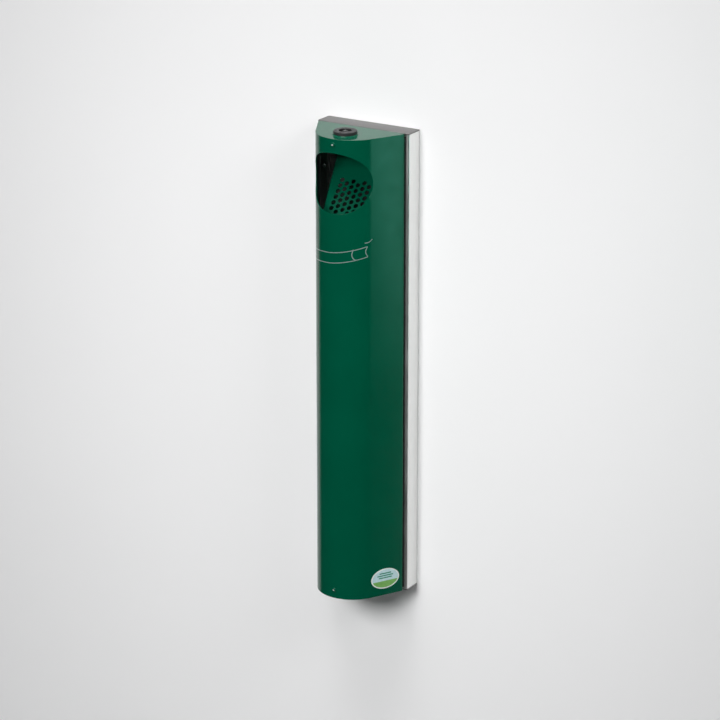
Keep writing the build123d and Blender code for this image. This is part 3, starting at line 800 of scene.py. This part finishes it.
room = {
    "wallLeft": -1.3,
    "wallRight": 0.6,
    "wallBottom": -0.95,
    "wallTop": 1.5,
    "wallShade": (0.93, 0.93, 0.935),
    "floorBelow": 1.5,                      # under mid-height
    "floorSize": 3.4,
    "floorShade": (0.86, 0.86, 0.86),
    "clearWithin": 4 * mm,                  # rays that start this near pass the wall
}


def makeWall():
    width, height = room["wallRight"] - room["wallLeft"], room["wallTop"] - room["wallBottom"]
    bpy.ops.mesh.primitive_plane_add(size=1, rotation=(math.pi / 2, 0, 0),
                                     location=(room["wallLeft"] + width / 2, 0.4 * mm,
                                               room["wallBottom"] + height / 2))
    wall = named("wall")
    wall.scale = (width, height, 1)
    applyPlace(wall)
    mat, tree, shader = newMaterial("wallPaint")
    tree.links.new(blendOf(tree, grain(tree, 0.5, detail=3), room["wallShade"],
                           tuple(0.985 * c for c in room["wallShade"])),
                   shader.inputs["Base Color"])
    shader.inputs["Roughness"].default_value = 0.95
    shader.inputs["Specular IOR Level"].default_value = 0.1
    # seen from behind, the wall lets the back of the channel show and be lit
    behind = addNode(tree, "NewGeometry")
    ray = addNode(tree, "LightPath")
    near = addNode(tree, "Math", {0: ray.outputs["Ray Length"], 1: room["clearWithin"]},
                   operation="LESS_THAN")
    either = addNode(tree, "Math", {0: behind.outputs["Backfacing"], 1: near.outputs[0]},
                     operation="MAXIMUM")
    clear = addNode(tree, "BsdfTransparent")
    mix = addNode(tree, "MixShader", {0: either.outputs[0], 1: shader.outputs[0],
                                      2: clear.outputs[0]})
    tree.links.new(mix.outputs[0], tree.nodes["Material Output"].inputs["Surface"])
    wearing(wall, mat)


def makeFloor():
    bpy.ops.mesh.primitive_plane_add(size=room["floorSize"], location=(0, 0, -room["floorBelow"]))
    floor = applyPlace(named("floor"))
    mat, tree, shader = newMaterial("floorPaint")
    tree.links.new(blendOf(tree, grain(tree, 0.4, detail=4), room["floorShade"],
                           tuple(0.97 * c for c in room["floorShade"])),
                   shader.inputs["Base Color"])
    shader.inputs["Roughness"].default_value = 0.8
    wearing(floor, mat)


makeWall()
makeFloor()
print("wall and floor made")


# lights

lights = {
    # name: place, aimed at, width, height, watts, spread, roll in degrees, colour
    "frontKey": ((-0.1, -2.4, 1.05), (-0.1, 0, -0.24), 1.2, 0.8, 10.4, 80, 0, (1, 1, 1)),
    "overhead": ((0.0, -0.95, 2.3), (0, -0.15, 0), 1.2, 0.8, 2.8, 60, 0, (1, 1, 1)),
    "rightFill": ((1.7, -0.9, 1.3), (0, -0.05, 0.12), 0.7, 0.7, 1.35, 60, 0, (1, 1, 1)),
    "topLamp": ((0.0, -0.1, 2.2), (0, -0.05, 0.3), 0.5, 0.2, 1.8, 60, 0, (1, 1, 1)),
    "sidePanel": ((0.8, 0.086, 0.0), (0.06, -0.045, 0.0), 0.22, 0.7, 2.8, 180, 8, (0.32, 1, 0.8)),
}
sky = {
    "above": 0.26,
    "front": 0.01,
    "behind": 0.7,
    "seen": 0.93,                           # by the camera
    "aboveRange": (0.25, 0.9),              # of the direction's upward share
    "behindRange": (0.12, 0.5),             # of its share away from the front
}


def makeLights():
    for name, (place, aim, width, height, watts, spread, roll, colour) in lights.items():
        bpy.ops.object.light_add(type="AREA", location=place)
        lamp = named(name)
        lamp.data.shape = "RECTANGLE"
        lamp.data.size, lamp.data.size_y = width, height
        lamp.data.energy = watts
        lamp.data.color = colour
        lamp.data.spread = math.radians(spread)
        turn = (Vector(aim) - Vector(place)).to_track_quat("-Z", "Y")
        lamp.rotation_euler = (turn @ Euler((0, 0, math.radians(roll))).to_quaternion()).to_euler()


def makeSky():
    # a dark studio in front, light from above and behind, and a pale backdrop to look at
    world = bpy.data.worlds.new("studio")
    bpy.context.scene.world = world
    world.use_nodes = True
    tree = world.node_tree
    place = addNode(tree, "TexCoord")
    parts = addNode(tree, "SeparateXYZ", {"Vector": place.outputs["Generated"]})
    above = ranged(tree, parts.outputs["Z"], sky["front"], sky["above"],
                   *sky["aboveRange"])
    behind = ranged(tree, parts.outputs["Y"], 0.0, sky["behind"], *sky["behindRange"])
    either = addNode(tree, "Math", {0: above, 1: behind}, operation="MAXIMUM")
    ray = addNode(tree, "LightPath")
    strength = addNode(tree, "Mix", {0: ray.outputs["Is Camera Ray"], 2: either.outputs[0],
                                     3: sky["seen"]}, data_type="FLOAT")
    tree.links.new(strength.outputs[0], tree.nodes["Background"].inputs["Strength"])
    tree.nodes["Background"].inputs["Color"].default_value = (1.0, 1.0, 1.0, 1)


makeLights()
makeSky()
print("lights made")


# camera

shot = {
    "azimuth": 31.6,
    "elevation": 18.6,
    "distance": 4.0,
    "lens": 160,
    "sensor": 36,
    "clip": (0.1, 40),
    "aim": Vector((7.4, 3.6, 2.6)) * mm,    # from the frame's middle
}


def makeCamera():
    a, e = math.radians(shot["azimuth"]), math.radians(shot["elevation"])
    back = Vector((math.sin(a) * math.cos(e), -math.cos(a) * math.cos(e), math.sin(e)))
    aim = frameCentre + shot["aim"]
    bpy.ops.object.camera_add(location=aim + back * shot["distance"])
    camera = named("camera")
    camera.data.lens = shot["lens"]
    camera.data.sensor_width = shot["sensor"]
    camera.data.clip_start, camera.data.clip_end = shot["clip"]
    camera.rotation_euler = (-back).to_track_quat("-Z", "Y").to_euler()
    bpy.context.scene.camera = camera
    bpy.context.scene.view_settings.view_transform = "Standard"
    bpy.context.scene.view_settings.look = "None"


makeCamera()
print("camera set")
